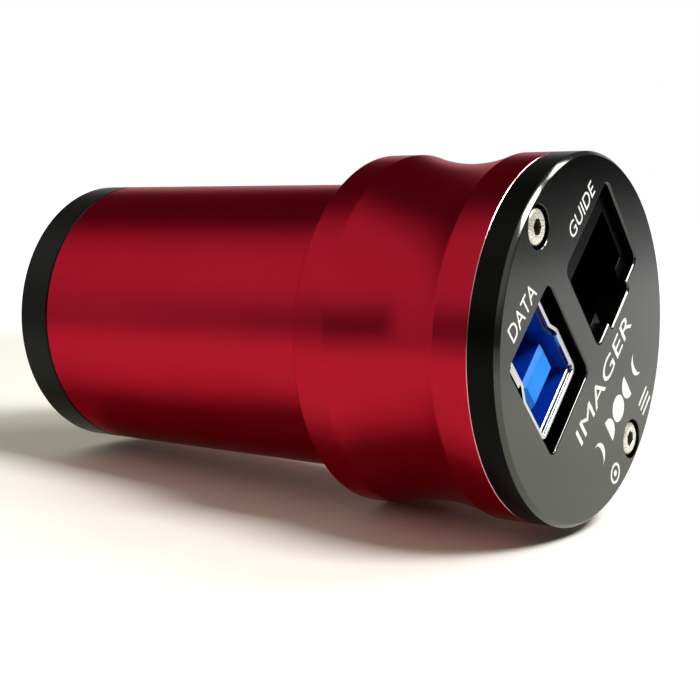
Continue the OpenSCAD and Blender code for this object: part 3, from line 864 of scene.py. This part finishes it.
def make_retainer():
    o = lathe("window_retainer_ring", rounded_poly([(9.8, Z_GLASS + 1.6), (11.25, Z_GLASS + 1.6), (11.25, Z_NOSE - 4.4), (9.8, Z_NOSE - 4.4)],
                                                   [0.05, 0.05, 0.12, 0.18]), 192)
    for s in (-1, 1):
        b = bmesh.new()
        sweep_into(b, [(s * 10.7 - 1.2, -0.6), (s * 10.7 + 1.2, -0.6), (s * 10.7 + 1.2, 0.6), (s * 10.7 - 1.2, 0.6)],
                   [(0, Z_GLASS + 1.9), (0, Z_NOSE - 4.35), (0.08, Z_NOSE - 4.2)], cap0=True, cap1=True, place=lambda v, u, z: W(u, v, z))
        boolean(o, close_mesh(b, "tmp"), "DIFFERENCE")
    return o


finish_piece(make_retainer(), M_BLACK, "front_ring", ["window_retainer"], angle=35)
finish_piece(lathe("window_glass_disc", rounded_poly([(0, Z_GLASS + 0.5), (11.1, Z_GLASS + 0.5), (11.2, Z_GLASS + 0.6), (11.2, Z_GLASS + 1.5),
                                                      (11.1, Z_GLASS + 1.6), (0, Z_GLASS + 1.6)], 0), 128),
             M_GLASS, "front_ring", ["window_glass"], angle=30)

# ------------------------------------------------------------------ carried-over nodes
for name, mat, bev in (
        ("window_seal", M_RUBBER, 0.08), ("sensor_board", M_BOARD, 0.05), ("sensor_board_screws", M_STEEL_IN, 0.04),
        ("sensor_package", M_PACKAGE, 0.06), ("sensor_die", M_DIE, 0.02), ("sensor_cover_glass", M_COVER, 0.03),
        ("sensor_flex", M_FLEX, 0.03), ("flex_connectors", M_IVORY, 0.12), ("main_board", M_BOARD, 0.05),
        ("processor_chip", M_CHIP, 0.1), ("memory_chip", M_CHIP, 0.1), ("bridge_chip", M_CHIP, 0.08), ("flash_chip", M_CHIP, 0.08),
        ("clock_crystals", M_TIN, 0.15), ("power_inductors", M_FERRITE, 0.2), ("ceramic_capacitors", M_CERAMIC, 0.06),
        ("board_header", M_HEADER, 0.08), ("connector_board", M_BOARD, 0.05), ("connector_board_screws", M_STEEL_IN, 0.05),
        ("optocoupler_chip", M_CHIP, 0.1), ("guide_jack_pins", M_GOLD, 0.05)):
    dress(name, mat, bev)

# ------------------------------------------------------------------ printed marks on the rear plate
INK_Z0, INK_Z1 = 0.0, -0.018          # printed skin, just proud of the face


def ink(name, loops):
    """Printed shapes: each loop is a closed outline in (v, u); a loop may be (outer, inner)."""
    bm = bmesh.new()
    for item in loops:
        if isinstance(item, tuple) and isinstance(item[0], list):
            outer, inner = item
            ra = sweep_into(bm, outer, [(0, INK_Z0), (0, INK_Z1)])
            rb = sweep_into(bm, inner, [(0, INK_Z1), (0, INK_Z0)])
            n = len(outer)
            for i in range(n):
                j = (i + 1) % n
                bm.faces.new([ra[1][i], ra[1][j], rb[0][j], rb[0][i]])
                bm.faces.new([ra[0][i], ra[0][j], rb[1][j], rb[1][i]])
        else:
            sweep_into(bm, item, [(0, INK_Z0), (0, INK_Z1)], cap0=True, cap1=True)
    o = close_mesh(bm, name)
    return finish_piece(o, M_INK, "camera", flat=True)


def word(name, text, u0, u1, v0, v1):
    """A plain word, fitted to a box of the rear layout."""
    cu = bpy.data.curves.new(name, "FONT")
    cu.body = text
    cu.size = 1.0
    cu.extrude = 0.004
    cu.offset = 0.0
    cu.resolution_u = 6
    t = bpy.data.objects.new(name + "_t", cu)
    scene.collection.objects.link(t)
    bpy.context.view_layer.update()
    dg = bpy.context.evaluated_depsgraph_get()
    me = bpy.data.meshes.new_from_object(t.evaluated_get(dg))
    bpy.data.objects.remove(t)
    co = np.array([v.co for v in me.vertices], float)
    lo, hi = co.min(0), co.max(0)
    k = np.array([(u1 - u0) / (hi[0] - lo[0]), (v1 - v0) / (hi[1] - lo[1])])
    for v in me.vertices:
        u = u0 + (v.co.x - lo[0]) * k[0]
        w = v0 + (v.co.y - lo[1]) * k[1]
        z = INK_Z0 + (INK_Z1 - INK_Z0) * (v.co.z - lo[2]) / (hi[2] - lo[2])
        v.co = W(*VU(w, u), z)
    me.update()
    bm = bmesh.new()
    bm.from_mesh(me)
    bmesh.ops.remove_doubles(bm, verts=bm.verts, dist=1e-7)
    bmesh.ops.recalc_face_normals(bm, faces=bm.faces)
    bm.to_mesh(me)
    bm.free()
    o = new_obj(name, me)
    return finish_piece(o, M_INK, "camera", flat=True)


word("mark_data", "DATA", -10.6, -4.4, 11.95, 13.75)
word("mark_guide", "GUIDE", 4.2, 10.9, 10.15, 11.8)
word("mark_imager", "IMAGER", -8.2, 8.2, -6.75, -4.55)


def disc(v, u, r, n=40):
    return [(v + p[0], u + p[1]) for p in arc_pts(r, n)]


def lune(v, u, r, phase, n=24):
    """The lit part of a moon: phase -1 to 1 moves the terminator."""
    pts = [(v + r * math.sin(math.pi * (k / n - 0.5)), u + r * math.cos(math.pi * (k / n - 0.5))) for k in range(n + 1)]
    pts += [(v - r * math.sin(math.pi * (k / n - 0.5)), u + phase * r * math.cos(math.pi * (k / n - 0.5))) for k in range(1, n)]
    return pts


PV, PR = -10.9, 1.45
moons = [lune(PV, -6.4, PR, 0.55), lune(PV, -3.2, PR, 0.0), disc(PV, 0.0, PR, 48)]
for u, ph in ((3.2, 0.0), (6.4, 0.55)):
    moons.append([(p[0], 2 * u - p[1]) for p in lune(PV, u, PR, ph)])
ink("mark_moon_phases", moons)
ink("mark_small_signs", [(disc(-15.6, -5.1, 1.15), disc(-15.6, -5.1, 0.85)), disc(-15.6, -5.1, 0.35),
                         rounded_poly(rect(3.6, 6.3, -15.15, -14.85), 0.1), rounded_poly(rect(3.6, 6.3, -15.95, -15.65), 0.1),
                         rounded_poly(rect(3.6, 6.3, -16.75, -16.45), 0.1)])

# ------------------------------------------------------------------ stage
def make_floor():
    bm = bmesh.new()
    rings = [0, 0.02, 0.05, 0.1, 0.2, 0.4, 0.8, 1.6]
    n = 96
    prev = None
    for r in rings:
        row = [bm.verts.new((r * math.cos(2 * math.pi * k / n), r * math.sin(2 * math.pi * k / n), 0)) for k in range(n)] if r else [bm.verts.new((0, 0, 0))]
        if prev is not None:
            for k in range(n):
                if len(prev) == 1:
                    bm.faces.new([prev[0], row[k], row[(k + 1) % n]])
                else:
                    bm.faces.new([prev[k], row[k], row[(k + 1) % n], prev[(k + 1) % n]])
        prev = row
    me = bpy.data.meshes.new("floor")
    bm.to_mesh(me)
    bm.free()
    o = new_obj("floor", me)
    # the camera rests on its collar, its nose just clear of the floor
    y_nose, r_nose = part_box("front_ring")[0].y, R_BARREL * MM + 0.0009
    o.rotation_euler = (-math.atan((R_COLLAR * MM - r_nose) / (0.0002 - y_nose)), 0, 0)
    o.location = (0, 0.0002, -R_COLLAR * MM - 0.00003)
    n_ = Nodes("stage_floor")
    t = n_.t
    pos = t.nodes.new("ShaderNodeNewGeometry")
    dist = t.nodes.new("ShaderNodeVectorMath")
    dist.operation = "LENGTH"
    t.links.new(pos.outputs["Position"], dist.inputs[0])
    far = n_.ramp(dist.outputs["Value"], 0.10, 0.22, 0, 1)
    sx = t.nodes.new("ShaderNodeSeparateXYZ")
    t.links.new(pos.outputs["Position"], sx.inputs[0])
    left = n_.ramp(sx.outputs[0], -0.04, 0.02, 1.0, 0.0)
    wide = n_.math("MAXIMUM", n_.ramp(dist.outputs["Value"], 0.07, 0.20, 0, 1), n_.math("ADD", 0.15, n_.math("MULTIPLY", left, 0.21)))
    near = n_.ramp(dist.outputs["Value"], 0.06, 0.16, 0.25, 1)
    lp = t.nodes.new("ShaderNodeLightPath")
    seen = lp.outputs["Is Camera Ray"]
    fac = n_.math("MAXIMUM", n_.math("MULTIPLY", far, seen), n_.math("MULTIPLY", wide, lp.outputs["Is Glossy Ray"]))
    em = t.nodes.new("ShaderNodeEmission")
    em.inputs[0].default_value = (1, 1, 1, 1)
    # Painted reflection for glossy rays: on the -x side the floor is mixed with a glow that brightens with distance and
    # changes with direction; on the +x side the glow is black close to the body and brightens further out, a painted
    # shadow in the body's reflections.
    fan = n_.ramp(n_.math("DIVIDE", sx.outputs[1], n_.math("MULTIPLY", sx.outputs[0], -1.0)), 0.38, 0.58, 0.75, 0.35)
    far_side = n_.math("MULTIPLY", near, n_.math("ADD", 0.50, fan))
    near_side = n_.ramp(dist.outputs["Value"], 0.05, 0.11, 0.0, 0.58)
    painted_reflection_glow = n_.math("ADD", n_.math("MULTIPLY", left, far_side), n_.math("MULTIPLY", n_.math("SUBTRACT", 1.0, left), near_side))
    t.links.new(n_.math("MAXIMUM", painted_reflection_glow, seen), em.inputs[1])
    tr = t.nodes.new("ShaderNodeBsdfTransparent")
    m1, m2 = t.nodes.new("ShaderNodeMixShader"), t.nodes.new("ShaderNodeMixShader")
    n_.set(Base_Color=(0.97, 0.96, 0.935, 1), Roughness=0.6, Specular_IOR_Level=0.2)
    t.links.new(fac, m1.inputs[0])
    t.links.new(n_.bsdf.outputs[0], m1.inputs[1])
    t.links.new(em.outputs[0], m1.inputs[2])
    t.links.new(pos.outputs["Backfacing"], m2.inputs[0])
    t.links.new(m1.outputs[0], m2.inputs[1])
    t.links.new(tr.outputs[0], m2.inputs[2])
    t.links.new(m2.outputs[0], n_.out.inputs[0])
    o.data.materials.append(n_.mat)
    return o


make_floor()


def area_light(name, direction, dist, size, radiance, color=(1, 1, 1), glossy=True, aim=(0.010, 0.022, 0.013)):
    L = bpy.data.lights.new(name, "AREA")
    L.shape = "RECTANGLE"
    L.size, L.size_y = size
    L.color = color
    L.energy = radiance * math.pi * size[0] * size[1]
    o = bpy.data.objects.new(name, L)
    scene.collection.objects.link(o)
    d = Vector(direction).normalized()
    o.location = Vector(aim) + d * dist
    o.rotation_mode = "QUATERNION"
    o.rotation_quaternion = d.to_track_quat("Z", "Y")
    o.visible_glossy = glossy
    o.visible_camera = False
    return o


area_light("lamp_back_a", (-0.115, 0.595, 0.790), 0.50, (0.205, 0.17), 27.0, (1.0, 0.99, 0.97))
area_light("lamp_back_b", (-0.565, 0.345, 0.750), 0.50, (0.15, 0.12), 11.0, (1.0, 0.99, 0.97))


def make_world():
    w = bpy.data.worlds.new("studio")
    scene.world = w
    w.use_nodes = True
    t = w.node_tree
    t.nodes.clear()
    out = t.nodes.new("ShaderNodeOutputWorld")
    tc = t.nodes.new("ShaderNodeTexCoord")
    sep = t.nodes.new("ShaderNodeSeparateXYZ")
    t.links.new(tc.outputs["Generated"], sep.inputs[0])
    X, Y, Z = sep.outputs

    def step(v, a, b, lo=0.0, hi=1.0):
        m = t.nodes.new("ShaderNodeMapRange")
        m.interpolation_type = "SMOOTHSTEP"
        t.links.new(v, m.inputs["Value"])
        m.inputs["From Min"].default_value, m.inputs["From Max"].default_value = a, b
        m.inputs["To Min"].default_value, m.inputs["To Max"].default_value = lo, hi
        return m.outputs["Result"]

    def op(kind, a, b=None):
        m = t.nodes.new("ShaderNodeMath")
        m.operation = kind
        for i, v in enumerate((a, b)):
            if v is None:
                continue
            if isinstance(v, bpy.types.NodeSocket):
                t.links.new(v, m.inputs[i])
            else:
                m.inputs[i].default_value = v
        return m.outputs[0]

    # a big soft window on the viewer's side, dark room overhead and behind
    low = step(Y, -0.67, -0.60, 0.84, 0.12)
    rise = step(Z, 0.10, 0.44)
    shade = op("ADD", low, op("MULTIPLY", rise, op("SUBTRACT", 1.0, low)))
    front = op("MULTIPLY", op("MULTIPLY", step(X, -0.14, 0.42), shade), 0.66)
    side = op("MULTIPLY", step(X, -0.45, -0.68), op("MULTIPLY", step(Y, 0.10, -0.12), step(Z, 0.48, 0.30)))
    side = op("MULTIPLY", side, 0.45)
    haze = op("MULTIPLY", step(X, -0.50, -0.78), op("MULTIPLY", step(Z, 0.035, -0.03), step(Y, 0.38, 0.46, 0.62, 0.15)))
    total = op("ADD", op("ADD", front, op("ADD", side, haze)), step(Y, 0.12, 0.36, 0.11, 0.015))
    gl = t.nodes.new("ShaderNodeBackground")
    t.links.new(total, gl.inputs["Strength"])
    gl.inputs["Color"].default_value = (1.0, 1.0, 1.0, 1)
    df = t.nodes.new("ShaderNodeBackground")
    df.inputs["Color"].default_value = (1.0, 0.95, 0.76, 1)
    t.links.new(step(Y, 0.10, -0.60, 0.045, 0.90), df.inputs["Strength"])
    cm = t.nodes.new("ShaderNodeBackground")
    cm.inputs["Color"].default_value = (1.0, 1.0, 1.0, 1)
    cm.inputs["Strength"].default_value = 1.0
    lp = t.nodes.new("ShaderNodeLightPath")
    m1, m2 = t.nodes.new("ShaderNodeMixShader"), t.nodes.new("ShaderNodeMixShader")
    gloss_or_trans = op("MAXIMUM", lp.outputs["Is Glossy Ray"], lp.outputs["Is Transmission Ray"])
    t.links.new(gloss_or_trans, m1.inputs[0])
    t.links.new(df.outputs[0], m1.inputs[1])
    t.links.new(gl.outputs[0], m1.inputs[2])
    t.links.new(lp.outputs["Is Camera Ray"], m2.inputs[0])
    t.links.new(m1.outputs[0], m2.inputs[1])
    t.links.new(cm.outputs[0], m2.inputs[2])
    t.links.new(m2.outputs[0], out.inputs[0])


make_world()
scene.view_settings.view_transform = "Standard"
scene.view_settings.look = "None"

# ------------------------------------------------------------------ camera
cam = bpy.data.cameras.new("camera")
cam.sensor_width = 36.0
cam.lens = 68.19
cam.shift_x = 0.0101
cam.shift_y = 0.0385
cam.clip_start = 0.005
cam.clip_end = 10.0
co = bpy.data.objects.new("camera", cam)
scene.collection.objects.link(co)
right = Vector((-0.5796472, 0.81485686, 0.00417435))
up = Vector((-0.09685154, -0.07397981, 0.9925456))
back = Vector((0.8090914, 0.57492199, 0.12180233))
rot = Matrix((right, up, back)).transposed()
co.matrix_world = Matrix.Translation(Vector((0.12242601, 0.07979809, 0.01256512))) @ rot.to_4x4()
scene.camera = co
